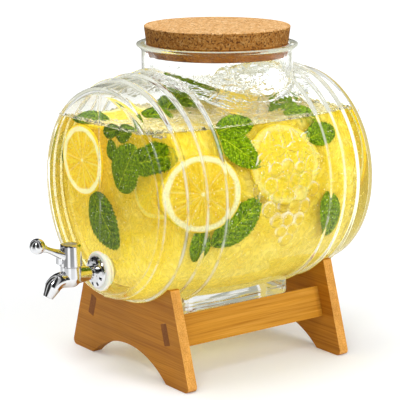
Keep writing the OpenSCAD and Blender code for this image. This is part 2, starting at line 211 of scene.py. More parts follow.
GRAPE_ROWS = ((23, 3), (12.5, 4), (2, 5), (-8.5, 4), (-18.5, 3), (-28, 2), (-37, 1))
GRAPE_STEP = 12.2
GRAPE_H = 3.0
SUNK = 3.1
LEAVES = ((-17, 38, 19, 2.5), (17, 40, 17, 0.7))
VINE_R2 = 4
VINE_H = 0.9


def grape_places():
    """Middle, radius and height of each grape, a little uneven as in a moulded bunch."""
    rng = random.Random(21)
    places = []
    for v, n in GRAPE_ROWS:
        for k in range(n):
            u = (k - (n - 1) / 2) * GRAPE_STEP + rng.uniform(-1.6, 1.6)
            middle_v = v + rng.uniform(-1.8, 1.8)
            places.append((u, middle_v, rng.uniform(5.4, 7.3), GRAPE_H * rng.uniform(0.7, 1.0)))
    return places


def leaf_height(u, v, cx, cy, size, turn):
    """A leaf with five lobes and a vein in each."""
    dx = u - cx
    dy = v - cy
    d = math.hypot(dx, dy)
    a = math.atan2(dy, dx) - turn
    edge = size * (0.72 + 0.22 * math.cos(5 * a) + 0.05 * math.cos(15 * a))
    vein = abs(math.sin(2.5 * a)) * d
    return smooth_step((edge - d) / 2.5) * (0.65 + 0.35 * smooth_step((vein - 0.6) / 2.0))


def vine_points():
    """Points along the stem, a curled tendril and the stalk at the left."""
    stem = [(0, 30 + 3 * k) for k in range(10)]
    curl = []
    for k in range(40):
        t = k / 39
        a = 1.2 + 9.5 * t
        r = 9 * (1 - t) + 1.5
        curl.append((29 + r * math.cos(a), 20 + r * math.sin(a) + 8 * t))
    left = [(-26 - 9 * math.sin(0.35 * k), 22 - 3.0 * k) for k in range(9)]
    return stem + curl + left


GRAPES = grape_places()
VINE = vine_points()
RELIEF_U = (-42, 44)
RELIEF_V = (-46, 66)


def has_relief(u, v):
    return RELIEF_U[0] < u < RELIEF_U[1] and RELIEF_V[0] < v < RELIEF_V[1]


def relief(y, angle):
    """Height of the moulded bunch at a place on the belly, in a panel sunk a little."""
    u = y - (NECK_Y - AXIS_Y)
    v = angle * BELLY_R
    if not has_relief(u, v):
        return 0.0
    h = 0.0
    for gu, gv, size, high in GRAPES:
        d2 = ((u - gu) ** 2 + (v - gv) ** 2) / size ** 2
        if d2 < 1:
            h = max(h, high * (1 - d2) ** 0.55)
    for leaf in LEAVES:
        h = max(h, leaf_height(u, v, *leaf))
    near = min((u - a) ** 2 + (v - b) ** 2 for a, b in VINE)
    if near < VINE_R2:
        h = max(h, VINE_H * (1 - near / VINE_R2) ** 0.7)
    sunk = SUNK * (1 - smooth_step((abs(v) - 8) / 24)) * (1 - smooth_step((abs(u) - 22) / 20))
    return h - sunk


# The glass

def barrel_angles():
    """Angles round the barrel, closer together at the seam and across the relief."""
    degs = []
    a = -90.0
    while a < 270.0:
        degs.append(a)
        at_seam = min(abs(a + 90), abs(a - 90), abs(a - 270)) < 1.2
        a += 0.3 if at_seam else 0.38 if -27 < a < 40 else 1.5
    return [math.radians(d) for d in degs if d < 269.9]


def barrel_profile():
    """Outline of the barrel from end to end, with its hoops and round shoulders."""
    ys = [0.0]
    while ys[-1] < SHOULDER_Y - 0.4:
        y = ys[-1]
        on_hoop = min(abs(y - h) for h in HOOPS) < HOOP_HALF + 0.5
        ys.append(y + (0.45 if on_hoop else 0.6 if y < 50 else 1.6))
    half = [(belly(y) + hoop(y), y) for y in ys if y < SHOULDER_Y - 0.3]
    flat_r = BAND_R - SHOULDER_R
    for k in range(13):
        w = QUARTER * k / 12
        half.append((flat_r + SHOULDER_R * math.cos(w), SHOULDER_Y + SHOULDER_R * math.sin(w)))
    half += [(r, HALF) for r in (72, 60, 45, 30, 15, 6, 0)]
    return [(r, -y) for r, y in reversed(half)][:-1] + half


def place_barrel(r, h, a):
    """A point of the barrel's skin, with its relief and its seam."""
    out = r
    ridge = 0.0
    if r > 1e-6:
        x = r * math.cos(a)
        if r > BAND_R - 1 and abs(h) < SHOULDER_Y:
            out = r + relief(h, a if a < math.pi else a - 2 * math.pi) + seam(x)
        elif abs(h) < HALF - 0.01:
            out = r + seam(x)
        else:
            ridge = -seam(x) * 0.9 if h < 0 else 0.0
    return place_round(out, h + ridge, a)


def surface_z(r, a, depth=0.0):
    """Height of the barrel's plain surface, or of one inside it, over a point round the neck's axis."""
    y = NECK_Y + r * math.sin(a) - AXIS_Y
    x = r * math.cos(a)
    return AXIS_Z + math.sqrt(max(1.0, (belly(y) - depth) ** 2 - x * x))


NECK_STEPS = 192
ROUND_STEPS = 8
CORE_R = 20


def upright_rings(profile):
    return [place_upright(r, z, a) for r, z in profile for a in even_angles(NECK_STEPS)]


def bore_mesh():
    """What is cut out of the neck: its bore, rounded where it opens into the hollow."""
    low = AXIS_Z + 20
    verts = upright_rings(((CORE_R, low), (BORE_LOW_R, low)))
    for k in range(ROUND_STEPS + 1):
        w = QUARTER * (1 - k / ROUND_STEPS)
        r = BORE_LOW_R + INNER_ROUND * (1 - math.cos(w))
        for a in even_angles(NECK_STEPS):
            z = surface_z(r, a, WALL) + INNER_ROUND * (1 - math.sin(w)) - 0.3 * math.sin(w)
            verts.append(place_upright(r, z, a))
    verts += upright_rings(((BORE_LOW_R, CORK_Z), (BORE_TOP_R, RIM_Z - 1.2), (BORE_TOP_R + 0.5, RIM_Z - 0.4),
                            (BORE_TOP_R + 1.4, RIM_Z + 0.01), (BORE_TOP_R + 1.4, RIM_Z + 5)))
    return skin("bore", verts, NECK_STEPS)


def neck_mesh():
    """The neck's outside, flowing into the barrel with a small fillet that follows it."""
    inner_r = 60
    flare = RIM_Z - RIM_H
    verts = upright_rings(((CORE_R, AXIS_Z + 25), (inner_r, AXIS_Z + 25)))
    for a in even_angles(NECK_STEPS):
        verts.append(place_upright(inner_r, surface_z(NECK_R + NECK_FILLET, a) - 12, a))
    for k in range(ROUND_STEPS + 1):
        w = QUARTER * k / ROUND_STEPS
        r = NECK_R + NECK_FILLET * (1 - math.sin(w))
        for a in even_angles(NECK_STEPS):
            z = surface_z(r, a) - 0.35 * (1 - k / ROUND_STEPS) + NECK_FILLET * (1 - math.cos(w))
            verts.append(place_upright(r, z, a))
    verts += upright_rings((
        (NECK_R, flare), (NECK_R + 0.15, flare + 1.0), (NECK_R + 0.6, flare + 2.0),
        (NECK_R + 1.4, flare + 3.0), (NECK_R + 2.4, flare + 3.9), (RIM_R - 1.0, RIM_Z - 2.4),
        (RIM_R - 0.3, RIM_Z - 1.9), (RIM_R, RIM_Z - 1.1), (RIM_R - 0.25, RIM_Z - 0.4),
        (RIM_R - 1.0, RIM_Z), (RIM_R - 3.0, RIM_Z)))
    return skin("neck", verts, NECK_STEPS)


def foot_mesh():
    """The solid foot under the belly, a slab with soft lower edges."""
    layers = []
    for k in range(6):
        w = QUARTER * k / 5
        layers.append((FOOT_SOFT * (1 - math.sin(w)), FOOT_LOW + FOOT_SOFT * (1 - math.cos(w))))
    layers.append((0.0, FOOT_TOP))
    verts = []
    steps = 10
    for inset, z in layers:
        r = FOOT_CORNER - inset
        for sx, sy, start in ((1, 1, 0), (-1, 1, 90), (-1, -1, 180), (1, -1, 270)):
            for k in range(steps + 1):
                a = math.radians(start + 90 * k / steps)
                x = sx * (FOOT_X - FOOT_CORNER) + r * math.cos(a)
                y = sy * (FOOT_Y - FOOT_CORNER) + r * math.sin(a)
                verts.append((x, AXIS_Y + y, z))
    return skin("foot", verts, 4 * (steps + 1))


def cavity_profile():
    """Half outline of the hollow, as radius and distance from the middle."""
    rounding = SHOULDER_R - WALL
    end_r = belly(SHOULDER_Y) - WALL - rounding
    half = [(belly(y) - WALL, y) for y in [2.5 * k for k in range(40)] + [SHOULDER_Y - 2.2]]
    for k in range(7):
        w = QUARTER * k / 6
        half.append((end_r + rounding * math.cos(w), INSIDE_Y - rounding + rounding * math.sin(w)))
    return half


# Where the painted highlight and shade lines on the glass lie: a weight that picks which side of a grape's
# outline gets the highlight, the turns of the shoulder's two painted highlight lines, and how far the seam's
# lines lie from its middle.
SIDEWAYS_SHARE = 0.5
TURN_MID = 58
TURN_FRONT = 14
SEAM_EDGE = 0.5


def steepness(h, a):
    """How steep the moulding is at a place on the belly, signed for painted lines: flanks that look forwards
    or up get a painted highlight, the others a painted shade.
    """
    off = min((abs(h) - at for at in HOOPS), key=abs) / HOOP_HALF
    slope = math.sin(math.pi * abs(off)) * HOOP_H * QUARTER / HOOP_HALF if abs(off) < 1 else 0.0
    side = -math.copysign(1.0, off * h)
    flank = smooth_step((slope - 0.75) / 0.7)
    if has_relief(h - (NECK_Y - AXIS_Y), a * BELLY_R):
        step = 0.5
        here = relief(h, a)
        along = relief(h + step, a) - here
        round_it = relief(h, a + step / BELLY_R) - here
        outline = smooth_step((math.hypot(along, round_it) / step - 0.3) / 0.4)
        if outline > flank:
            flank = outline
            side = 1.0 if along * SIDEWAYS_SHARE > round_it else -1.0
    return side * flank


def painted_edge_lines(x, y, z):
    """How far a point of the glass lies on a painted line of the moulding: a painted highlight where
    positive, a painted shade where negative.
    """
    h = y - AXIS_Y
    r = math.hypot(x, z - AXIS_Z)
    if z > RIM_Z - 20:
        return 0.0
    if abs(h) < SHOULDER_Y:
        return steepness(h, math.atan2(z - AXIS_Z, x)) if r > belly(h) - 3.6 else 0.0
    beyond = abs(h) - SHOULDER_Y
    over = r - (BAND_R - SHOULDER_R)
    on_shoulder = abs(math.hypot(beyond, max(0.0, over)) - SHOULDER_R) < 0.8
    if not (on_shoulder or (over <= 0 and beyond > SHOULDER_R - 0.8)):
        return 0.0
    turn = math.degrees(math.atan2(over, beyond))
    line = max(1 - abs(turn - TURN_MID) / 9, 0.8 * (1 - abs(turn - TURN_FRONT) / 8), 0.0)
    on_seam = abs(x) < 1.1 and h < 0 and z > AXIS_Z - 20
    if on_seam and line < 0.2:
        return math.copysign(1 - abs(abs(x) - SEAM_EDGE) / 0.7, x)
    return line


def in_hollow(x, y, z):
    """One for a face that bounds the hollow, where glass meets drink instead of air."""
    h = y - AXIS_Y
    r = math.hypot(x, z - AXIS_Z)
    return 1.0 if abs(h) < INSIDE_Y + 0.6 and r < belly(h) - WALL + 0.6 else 0.0


def note(ob, name, domain, values):
    """Keeps a value for each point or face of a mesh, for its material to read."""
    ob.data.attributes.new(name, "FLOAT", domain).data.foreach_set("value", values)


def glass():
    outer = lathe("glass", barrel_profile(), barrel_angles(), place_barrel)
    half = cavity_profile()
    end_y = half[-1][1]
    inside = [(0, -end_y)] + [(r, -y) for r, y in reversed(half)] + half[1:] + [(0, end_y)]
    cavity = lathe("cavity", inside, even_angles(240), place_round)
    hole = lathe("hole", [(0, -HALF - 3), (HOLE_R, -HALF - 3), (HOLE_R, -HALF + 9), (0, -HALF + 9)],
                 even_angles(64), lambda r, h, a: place_round(r, h, a, TAP_Z))
    combine(outer, [neck_mesh(), foot_mesh()], "UNION")
    combine(outer, [cavity, bore_mesh(), hole], "DIFFERENCE")
    outer.data.polygons.foreach_set("use_smooth", [True] * len(outer.data.polygons))
    outer.data.set_sharp_from_angle(angle=math.radians(38))
    note(outer, "inside", "FACE", [in_hollow(*(face.center / MM)) for face in outer.data.polygons])
    # Painted highlight and shade lines on the moulding, kept on the points for the glass material.
    note(outer, "edge", "POINT", [painted_edge_lines(*(vert.co / MM)) for vert in outer.data.vertices])
    return outer


# Materials

def grey(value):
    return (value, value, value)


class Shader:
    """The nodes of one shader. A wire is a node with the name or the number of one of its outputs."""

    def __init__(self, owner):
        owner.use_nodes = True
        self.owner = owner
        self.tree = owner.node_tree
        self.tree.nodes.clear()

    def add(self, kind, out, sockets=None, **settings):
        """A new node: wires are linked to its sockets, and constants are set on them."""
        n = self.tree.nodes.new("ShaderNode" + kind)
        for key, value in settings.items():
            setattr(n, key, value)
        for socket, value in (sockets or {}).items():
            into = n.inputs[socket]
            if isinstance(value, tuple) and isinstance(value[0], bpy.types.Node):
                self.tree.links.new(value[0].outputs[value[1]], into)
            elif into.type == "RGBA":
                into.default_value = (*value, 1)
            else:
                into.default_value = value
        return n, out

    def at(self, scale=(1, 1, 1)):
        """The place on the object, scaled along each axis."""
        place = self.add("TexCoord", "Object")
        return self.add("Mapping", "Vector", {"Vector": place, "Scale": scale})

    def parts(self, vector=None):
        """The three parts of a vector, or of the place on the object."""
        n, _ = self.add("SeparateXYZ", 0, {"Vector": vector or self.add("TexCoord", "Object")})
        return [(n, axis) for axis in "XYZ"]

    def noise(self, at, scale, detail, distortion=0.0, roughness=0.5):
        return self.add("TexNoise", "Fac", {"Vector": at, "Scale": scale, "Detail": detail,
                                            "Distortion": distortion, "Roughness": roughness})

    def cells(self, at, scale, out="Distance"):
        return self.add("TexVoronoi", out, {"Vector": at, "Scale": scale})

    def ramp(self, fac, *stops):
        n, out = self.add("ValToRGB", "Color", {"Fac": fac})
        elements = n.color_ramp.elements
        while len(elements) < len(stops):
            elements.new(0.5)
        for e, (place, colour) in zip(elements, stops):
            e.position = place
            e.color = (*colour, 1)
        return n, out

    def span(self, value, near, far, at_near, at_far, way="SMOOTHSTEP"):
        """A value that goes from one number to another between two places."""
        return self.add("MapRange", "Result", {
            "Value": value, "From Min": near, "From Max": far, "To Min": at_near, "To Max": at_far},
            interpolation_type=way)

    def maths(self, operation, a, b=0.0, clamp=False):
        return self.add("Math", 0, {0: a, 1: b}, operation=operation, use_clamp=clamp)

    def times(self, a, b):
        return self.maths("MULTIPLY", a, b)

    def mix(self, fac, a, b, blend="MIX"):
        return self.add("Mix", 2, {0: fac, 6: a, 7: b}, data_type="RGBA", blend_type=blend)

    def tint(self, a, b):
        return self.mix(1.0, a, b, "MULTIPLY")

    def bump(self, height, strength, distance, normal=None):
        sockets = {"Height": height, "Strength": strength, "Distance": distance}
        if normal:
            sockets["Normal"] = normal
        return self.add("Bump", "Normal", sockets)

    def ray(self, kind):
        return self.add("LightPath", kind)

    def mesh_value(self, name, out="Fac"):
        return self.add("Attribute", out, attribute_name=name)

    def surface(self, **sockets):
        named = {key.replace("_", " "): value for key, value in sockets.items()}
        return self.add("BsdfPrincipled", "BSDF", named)

    def plain(self, kind, colour):
        return self.add(kind, 0, {"Color": colour})

    def blend(self, fac, a, b):
        return self.add("MixShader", 0, {0: fac, 1: a, 2: b})

    def finish(self, surface, volume=None):
        sockets = {"Surface": surface}
        if volume:
            sockets["Volume"] = volume
        self.add("OutputMaterial", 0, sockets)
        return self.owner


def new_shader(name):
    return Shader(bpy.data.materials.new(name))


# Each painted edge line, a painted highlight or a painted shade: which way its flank looks, how strong its
# line is, and its tone. Each band of waves: scale, lower edge from and to, upper edge, how far from the
# neck's axis (all in metres), and strength.
GLASS_IOR = 1.5
DRINK_IOR = 1.333
# Painted light: the pale glow that clear surfaces show after more than MANY_MIRRORS mirrorings, yellower
# below the drink's level.
PAINTED_GLOW_ABOVE = (0.76, 0.76, 0.62)
PAINTED_GLOW_BELOW = (0.74, 0.60, 0.20)
MANY_MIRRORS = 2.5
PAINTED_EDGE_HIGHLIGHT = (1.0, 0.55, (0.95, 0.96, 0.90))
PAINTED_EDGE_SHADE = (-1.0, 0.42, (0.36, 0.29, 0.09))
HIGH_WAVES = ((30, 30, 16), 0.236, 0.244, 0.4, 0.066, 0.3)
ROOT_WAVES = ((90, 90, 120), 0.214, 0.222, 0.25, 0.079, 0.36)


def under_level(g):
    return g.maths("LESS_THAN", g.parts()[2], LEVEL * MM)


def clear_shader(g, ior, tint, **sockets):
    """A refracting surface that lets lamp light through, so that what it holds is lit. After more than a few
    mirrorings it shows a painted glow, yellower below the drink's level.
    """
    base = g.surface(IOR=ior, Roughness=0.0, Transmission_Weight=1.0, **sockets)
    painted_glow = g.plain("Emission", g.mix(under_level(g), PAINTED_GLOW_ABOVE, PAINTED_GLOW_BELOW))
    deep = g.maths("GREATER_THAN", g.ray("Glossy Depth"), MANY_MIRRORS)
    return g.blend(g.ray("Is Shadow Ray"), g.blend(deep, base, painted_glow), g.plain("BsdfTransparent", tint))


def neck_waves(g, b):
    """Waves in the neck's wall and at its root, kept off the rest of the barrel."""
    x, y, z = g.parts()
    from_axis = g.maths("SUBTRACT", y, NECK_Y * MM)
    away = g.maths("SQRT", g.maths("ADD", g.times(x, x), g.times(from_axis, from_axis)))
    for scale, low, high, top, reach, strength in (HIGH_WAVES, ROOT_WAVES):
        uneven = g.noise(g.at(scale), 1.0, 2.0, 1.0)
        above = g.span(z, low, high, 0.0, 1.0)
        below_top = g.span(z, top, top - 0.012, 0.0, 1.0)
        near = g.span(away, reach, reach - 0.006, 0.0, 1.0)
        here = g.times(g.times(above, below_top), near)
        b = g.bump(g.times(uneven, here), strength, 0.003, b)
    return b


def glass_material():
    g = new_shader("clear_glass")
    at = g.at()
    b = g.bump(g.noise(at, 38.0, 2.0), 0.12, 0.0012)
    in_foot = g.maths("LESS_THAN", g.parts()[2], (FOOT_LOW + 10) * MM)
    b = g.bump(g.times(g.noise(g.at((14, 9, 190)), 1.0, 2.0), in_foot), 0.7, 0.003, b)
    b = neck_waves(g, b)
    tint = g.ramp(g.noise(at, 14.0, 1.0), (0.3, (0.955, 0.975, 0.955)), (0.7, (0.975, 0.985, 0.975)))
    dry, wet = [clear_shader(g, ior, (0.97, 0.98, 0.96), Normal=b, Base_Color=tint, Specular_Tint=grey(0.25))
                for ior in (GLASS_IOR, GLASS_IOR / DRINK_IOR)]
    lit = g.blend(g.times(under_level(g), g.mesh_value("inside")), dry, wet)
    often = g.ramp(g.noise(at, 60.0, 2.0), (0.35, grey(0.25)), (0.6, grey(1.0)))
    outer_only = g.maths("SUBTRACT", 1.0, g.add("NewGeometry", "Backfacing"))
    strength = g.times(often, outer_only)
    # Painted highlight and painted shade: white and dark diffuse lines on the hoops, the grapes, the shoulder
    # and the seam.
    for sign, share, tone in (PAINTED_EDGE_HIGHLIGHT, PAINTED_EDGE_SHADE):
        part = g.maths("MULTIPLY", g.mesh_value("edge"), sign * share, clamp=True)
        lit = g.blend(g.times(part, strength), lit, g.plain("BsdfDiffuse", tone))
    return g.finish(lit)


def drink_material():
    """A clear yellow drink. Only its open surface bends light here: the glass does it at the sides."""
    g = new_shader("drink")
    at = g.at()
    ripple = g.bump(g.noise(at, 55.0, 2.0, 1.5), 0.5, 0.006)
    absorb = g.add("VolumeAbsorption", 0, {"Color": (0.995, 0.90, 0.0), "Density": 18.0})
    flat = g.maths("ABSOLUTE", g.parts(g.add("NewGeometry", "True Normal"))[2])
    high = g.maths("GREATER_THAN", g.parts()[2], (LEVEL - 6) * MM)
    open_side = g.times(g.maths("GREATER_THAN", flat, 0.9), high)
    open_drink = clear_shader(g, DRINK_IOR, (1, 1, 0.97), Base_Color=(1, 0.995, 0.97), Normal=ripple)
    fine = g.ramp(g.noise(at, 420.0, 3.0, 1.0), (0.44, grey(0.0)), (0.58, grey(1.0)))
    where = g.ramp(g.noise(at, 42.0, 2.0), (0.38, grey(0.15)), (0.6, grey(0.9)))
    frothy = g.blend(g.times(fine, where), open_drink, g.plain("BsdfDiffuse", (0.93, 0.86, 0.58)))
    return g.finish(g.blend(open_side, g.add("BsdfTransparent", 0), frothy), absorb)


def dull_pulp(g, cloud, stops, most, pale):
    """Dull yellow pulp, painted paler low down. It glows there and at the front as painted light, where less
    lamp light gets in.
    """
    x, y, z = g.parts()
    # Painted light: the pulp glows low down and at the front.
    glow = g.maths("ADD", g.span(y, -0.062, -0.02, 0.21, 0.0), g.span(z, 0.065, 0.15, 0.32, 0.14))
    colour = g.mix(g.span(z, 0.15, 0.065, 0.0, most), g.ramp(cloud, *stops), pale)
    return g.surface(Base_Color=colour, Roughness=0.9, Specular_IOR_Level=0.0,
                     Emission_Color=colour, Emission_Strength=glow)


def cloud_material():
    """The cloudy depth of the drink, where single things can no longer be made out."""
    g = new_shader("drink_depth")
    stops = ((0.3, (0.56, 0.35, 0.006)), (0.45, (0.66, 0.49, 0.016)), (0.55, (0.74, 0.60, 0.05)),
             (0.72, (0.84, 0.74, 0.20)))
    return g.finish(dull_pulp(g, g.noise(g.at(), 20.0, 5.0, 1.2), stops, 0.8, (0.84, 0.78, 0.24)))


def haze_material():
    """Fine pulp and bubbles that hang in the drink in front of its depth."""
    g = new_shader("drink_haze")
    at = g.at()
    stops = ((0.3, (0.66, 0.50, 0.035)), (0.5, (0.78, 0.63, 0.10)), (0.7, (0.90, 0.78, 0.28)))
    base = dull_pulp(g, g.noise(at, 70.0, 5.0, 1.0), stops, 0.75, (0.90, 0.80, 0.28))
    drift = g.noise(at, 110.0, 4.0, 1.5)
    share = g.ramp(drift, (0.35, grey(0.24)), (0.5, grey(0.42)), (0.65, grey(0.62)))
    return g.finish(g.blend(share, g.add("BsdfTransparent", 0), base))


def cork_material():
    """Pressed grains of two sizes with small pits. The side is darker than the top, partly the cork's own
    colour and partly painted shade, with more dark pits; the part in the neck is painted darker as painted
    shade, with some damp.
    """
    g = new_shader("cork")
    at = g.at()
    grains = g.add("SeparateColor", "Red", {"Color": g.cells(at, 800.0, "Color")})
    lumps = g.add("SeparateColor", "Green", {"Color": g.cells(at, 360.0, "Color")})
    fine = g.ramp(grains, (0.0, (0.22, 0.08, 0.015)), (0.22, (0.56, 0.27, 0.075)),
                  (0.6, (0.76, 0.43, 0.16)), (1.0, (1.0, 0.74, 0.42)))
    coarse = g.ramp(lumps, (0.0, (0.55, 0.26, 0.07)), (0.5, (0.72, 0.40, 0.15)),
                    (0.85, (0.80, 0.48, 0.20)), (1.0, (0.95, 0.70, 0.42)))
    up = g.maths("MULTIPLY", g.parts(g.add("NewGeometry", "Normal"))[2], 1.0, clamp=True)
    # Painted shade: the side darker than the top, partly the cork's own colour.
    shade = g.mix(up, (0.60, 0.46, 0.25), (1.06, 1.05, 1.04))
    # Painted shade in the neck, darker and browner, with some damp.
    in_neck = g.maths("LESS_THAN", g.parts()[2], (RIM_Z + 1) * MM)
    toned = g.tint(g.mix(0.5, fine, coarse), g.mix(in_neck, shade, (0.36, 0.20, 0.02)))
    pits = g.noise(at, 620.0, 2.0)
    dark = g.maths("GREATER_THAN", pits, g.maths("ADD", g.times(up, 0.1), 0.585))
    b = g.bump(pits, 0.3, 0.0005, g.bump(g.cells(at, 520.0), 0.35, 0.0006))
    return g.finish(g.surface(Base_Color=g.mix(dark, toned, (0.13, 0.045, 0.012)), Roughness=0.85,
                              Specular_IOR_Level=0.2, Normal=b))


def bamboo_material(name, axis, end_tone, tone):
    """Glued strips of bamboo, with straight fibres along one axis (0, 1 or 2) and other tones on the ends. On
    the panels the tone also darkens the broad faces as painted shade, and the end tone lifts their edges
    back.
    """
    g = new_shader(name)

    def streaks(along, across, **more):
        scale = [across, across, across]
        scale[axis] = along
        return g.noise(g.at(tuple(scale)), 1.0, **more)

    fibres = streaks(14, 900, detail=3.0, roughness=0.6)
    soft = streaks(5, 120, detail=2.0)
    grain = g.ramp(fibres, (0.25, (0.44, 0.16, 0.008)), (0.5, (0.60, 0.255, 0.022)),
                   (0.75, (0.70, 0.33, 0.05)))
    patches = g.ramp(soft, (0.3, (0.86, 0.80, 0.74)), (0.7, (1.08, 1.06, 1.02)))
    both = g.tint(g.tint(grain, patches), tone)
    facing = g.parts(g.add("NewGeometry", "True Normal"))[axis]
    ends = g.maths("GREATER_THAN", g.maths("ABSOLUTE", facing), 0.8)
    both = g.mix(ends, both, g.tint(both, end_tone))
    return g.finish(g.surface(Base_Color=both, Roughness=0.5, Specular_IOR_Level=0.2,
                              Normal=g.bump(fibres, 0.12, 0.0003)))


DIMPLES = 9.0
DIMPLE_RING = 10.2
DIMPLE_HALF = 1.5
DIMPLE_PHASE = -0.5
PAINTED_DIMPLE_SHADE = (0.03, 0.03, 0.035)


def dimples(g):
    """Where the ring of dimples in the tap's flange lies in shadow."""
    x, y, z = g.parts()
    up = g.maths("SUBTRACT", z, TAP_Z * MM)
    flat = g.add("CombineXYZ", 0, {"X": x, "Y": up})
    radius = g.add("VectorMath", "Value", {0: flat}, operation="LENGTH")
    off = g.maths("ABSOLUTE", g.maths("SUBTRACT", radius, DIMPLE_RING * MM))
    in_ring = g.maths("LESS_THAN", off, DIMPLE_HALF * MM)
    wave = g.maths("COSINE", g.times(g.maths("ARCTAN2", up, x), DIMPLES))
    return g.times(in_ring, g.maths("LESS_THAN", wave, DIMPLE_PHASE))


def metal_material(name, colour, rough, brushed=0.0, dimpled=False):
    g = new_shader(name)
    smear = g.noise(g.at(), 160.0, 3.0)
    tone = g.ramp(smear, (0.3, tuple(0.96 * c for c in colour)), (0.7, colour))
    if dimpled:
        # Painted shade in the flange's dimples.
        tone = g.mix(dimples(g), tone, PAINTED_DIMPLE_SHADE)
    polish = g.ramp(smear, (0.3, grey(rough)), (0.7, grey(rough * 1.5)))
    return g.finish(g.surface(Metallic=1.0, Base_Color=tone, Roughness=polish,
                              Normal=g.bump(smear, 0.03 + brushed, 0.0002)))


def soft_material(name, colour, rough, glow=0.0):
    g = new_shader(name)
    cloud = g.noise(g.at(), 110.0, 2.0)
    tone = g.ramp(cloud, (0.3, tuple(0.93 * c for c in colour)), (0.7, colour))
    # The glow is painted light: the part glows though it is no lamp.
    return g.finish(g.surface(Base_Color=tone, Roughness=rough, Emission_Color=tone, Emission_Strength=glow,
                              Subsurface_Weight=0.4 if glow else 0.0, Subsurface_Scale=0.004,
                              Normal=g.bump(cloud, 0.06, 0.0003)))


def painted_material(name, rough, glow, grain_scale, grain_depth, soft, specks=0.0):
    """The tones painted on the points of a slice or a leaf, with grain and small bright specks. With specks,
    small cells get a painted highlight in the middle and painted shade at the rim, as on puckers; the glow is
    painted light.
    """
    g = new_shader(name)
    at = g.at()
    grain = g.noise(at, grain_scale, 3.0)
    shade = g.ramp(grain, (0.3, (0.82, 0.82, 0.80)), (0.7, (1.12, 1.12, 1.08)))
    tone = g.tint(g.mesh_value("tint", "Color"), shade)
    if specks:
        painted_pucker_shading = g.ramp(g.cells(at, 540.0), (0.05, (1.6, 1.5, 1.5)), (0.45, (0.9, 0.92, 0.8)),
                           (0.8, (0.45, 0.5, 0.3)))
        small = g.maths("LESS_THAN", g.cells(at, 620.0), specks)
        tone = g.mix(small, g.tint(tone, painted_pucker_shading), (0.66, 0.74, 0.22))
    return g.finish(g.surface(Base_Color=tone, Emission_Color=tone, Emission_Strength=glow, Roughness=rough,
                              Specular_IOR_Level=0.1, Subsurface_Weight=soft, Subsurface_Scale=0.002,
                              Normal=g.bump(grain, 0.5, grain_depth)))


def bubble_material():
    g = new_shader("bubbles")
    tone = g.ramp(g.noise(g.at(), 200.0, 1.0), (0.3, (0.96, 0.96, 0.92)), (0.7, (1, 1, 0.98)))
    return g.finish(clear_shader(g, 1.33, (1, 1, 1), Base_Color=tone))


def fizz_material():
    g = new_shader("fizz")
    tone = g.ramp(g.noise(g.at(), 300.0, 1.0), (0.3, (0.90, 0.88, 0.62)), (0.7, (1, 1, 0.86)))
    return g.finish(g.surface(Base_Color=tone, Roughness=0.2))


def assign(ob, mat):
    ob.data.materials.clear()
    ob.data.materials.append(mat)


# Glass barrel

clear = glass_material()
glass_ob = glass()
glass_ob.name = "glass_barrel_moulded"
assign(glass_ob, clear)
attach(glass_ob, "barrel")
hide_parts("glass_barrel")


# The drink, and its cloudy depth

TANK_ARC = 110
TANK_TOP = 46


def tank(name, inset, level, end_inset, ripple, rounding=0.0, front_extra=0.0, aside=0.0):
    """What fills the hollow up to a level, as a closed shell set in from the wall."""
    ends = INSIDE_Y - end_inset - rounding
    half = [(r - inset, y) for r, y in cavity_profile() if y < min(ends, INSIDE_Y - 2.6)]
    last_r = half[-1][0]
    for k in range(9 if rounding else 1):
        w = QUARTER * k / 8
        half.append((last_r - rounding * (1 - math.cos(w)), ends + rounding * math.sin(w)))
    front = 1 - front_extra / ends
    verts = []
    for r, y in [(r, -y * front) for r, y in reversed(half[1:])] + half:
        lift = math.asin(min(0.99, (level - AXIS_Z) / r))
        for k in range(TANK_ARC + 1):
            a = math.pi - lift + (math.pi + 2 * lift) * k / TANK_ARC
            px, py, pz = place_round(r, y, a)
            verts.append((px + aside, py, pz))
        for k in range(1, TANK_TOP):
            x = -r * math.cos(lift) * math.sin(math.pi * (k / TANK_TOP - 0.5))
            wave = ripple * noise.noise(Vector((x * 0.05, y * 0.05, 3.1)))
            verts.append((x + aside, AXIS_Y + y, level + wave))
    ob = skin(name, verts, TANK_ARC + TANK_TOP)
    ob.data.set_sharp_from_angle(angle=math.radians(40))
    return ob


def film(name, inset, h0, h1, a0, a1):
    """A thin film of pulp that follows the inside of the glass between two hoops and two angles."""
    rows = 30
    cols = 60
    verts = []
    for i in range(rows + 1):
        h = h0 + (h1 - h0) * i / rows
        for k in range(cols + 1):
            x, y, z = place_round(belly(h) - WALL - inset, h, math.radians(a0 + (a1 - a0) * k / cols))
            verts.append((x, y, min(z, LEVEL - 1.5)))
    return sheet(name, verts, cols + 1)


drink = tank("drink", -0.12, LEVEL, -0.12, 0.8)
assign(drink, drink_material())
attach(drink, "barrel")

cloud = tank("drink_depth", 13.0, LEVEL - 7, 8.5, 3.0, 13.0, 15.0, -4.5)
assign(cloud, cloud_material())
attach(cloud, "barrel")

hazy = haze_material()
haze = tank("drink_haze", 8.0, LEVEL - 4, 6.0, 1.5, 9.0, 11.0)
assign(haze, hazy)
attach(haze, "barrel")
pulp = film("drink_pulp_left", 1.0, -99.0, -22.0, 142, 232)
assign(pulp, hazy)
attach(pulp, "barrel")


# Slices of lemon, mint leaves and bubbles. Each lies against the wall, the front, or free in the drink.

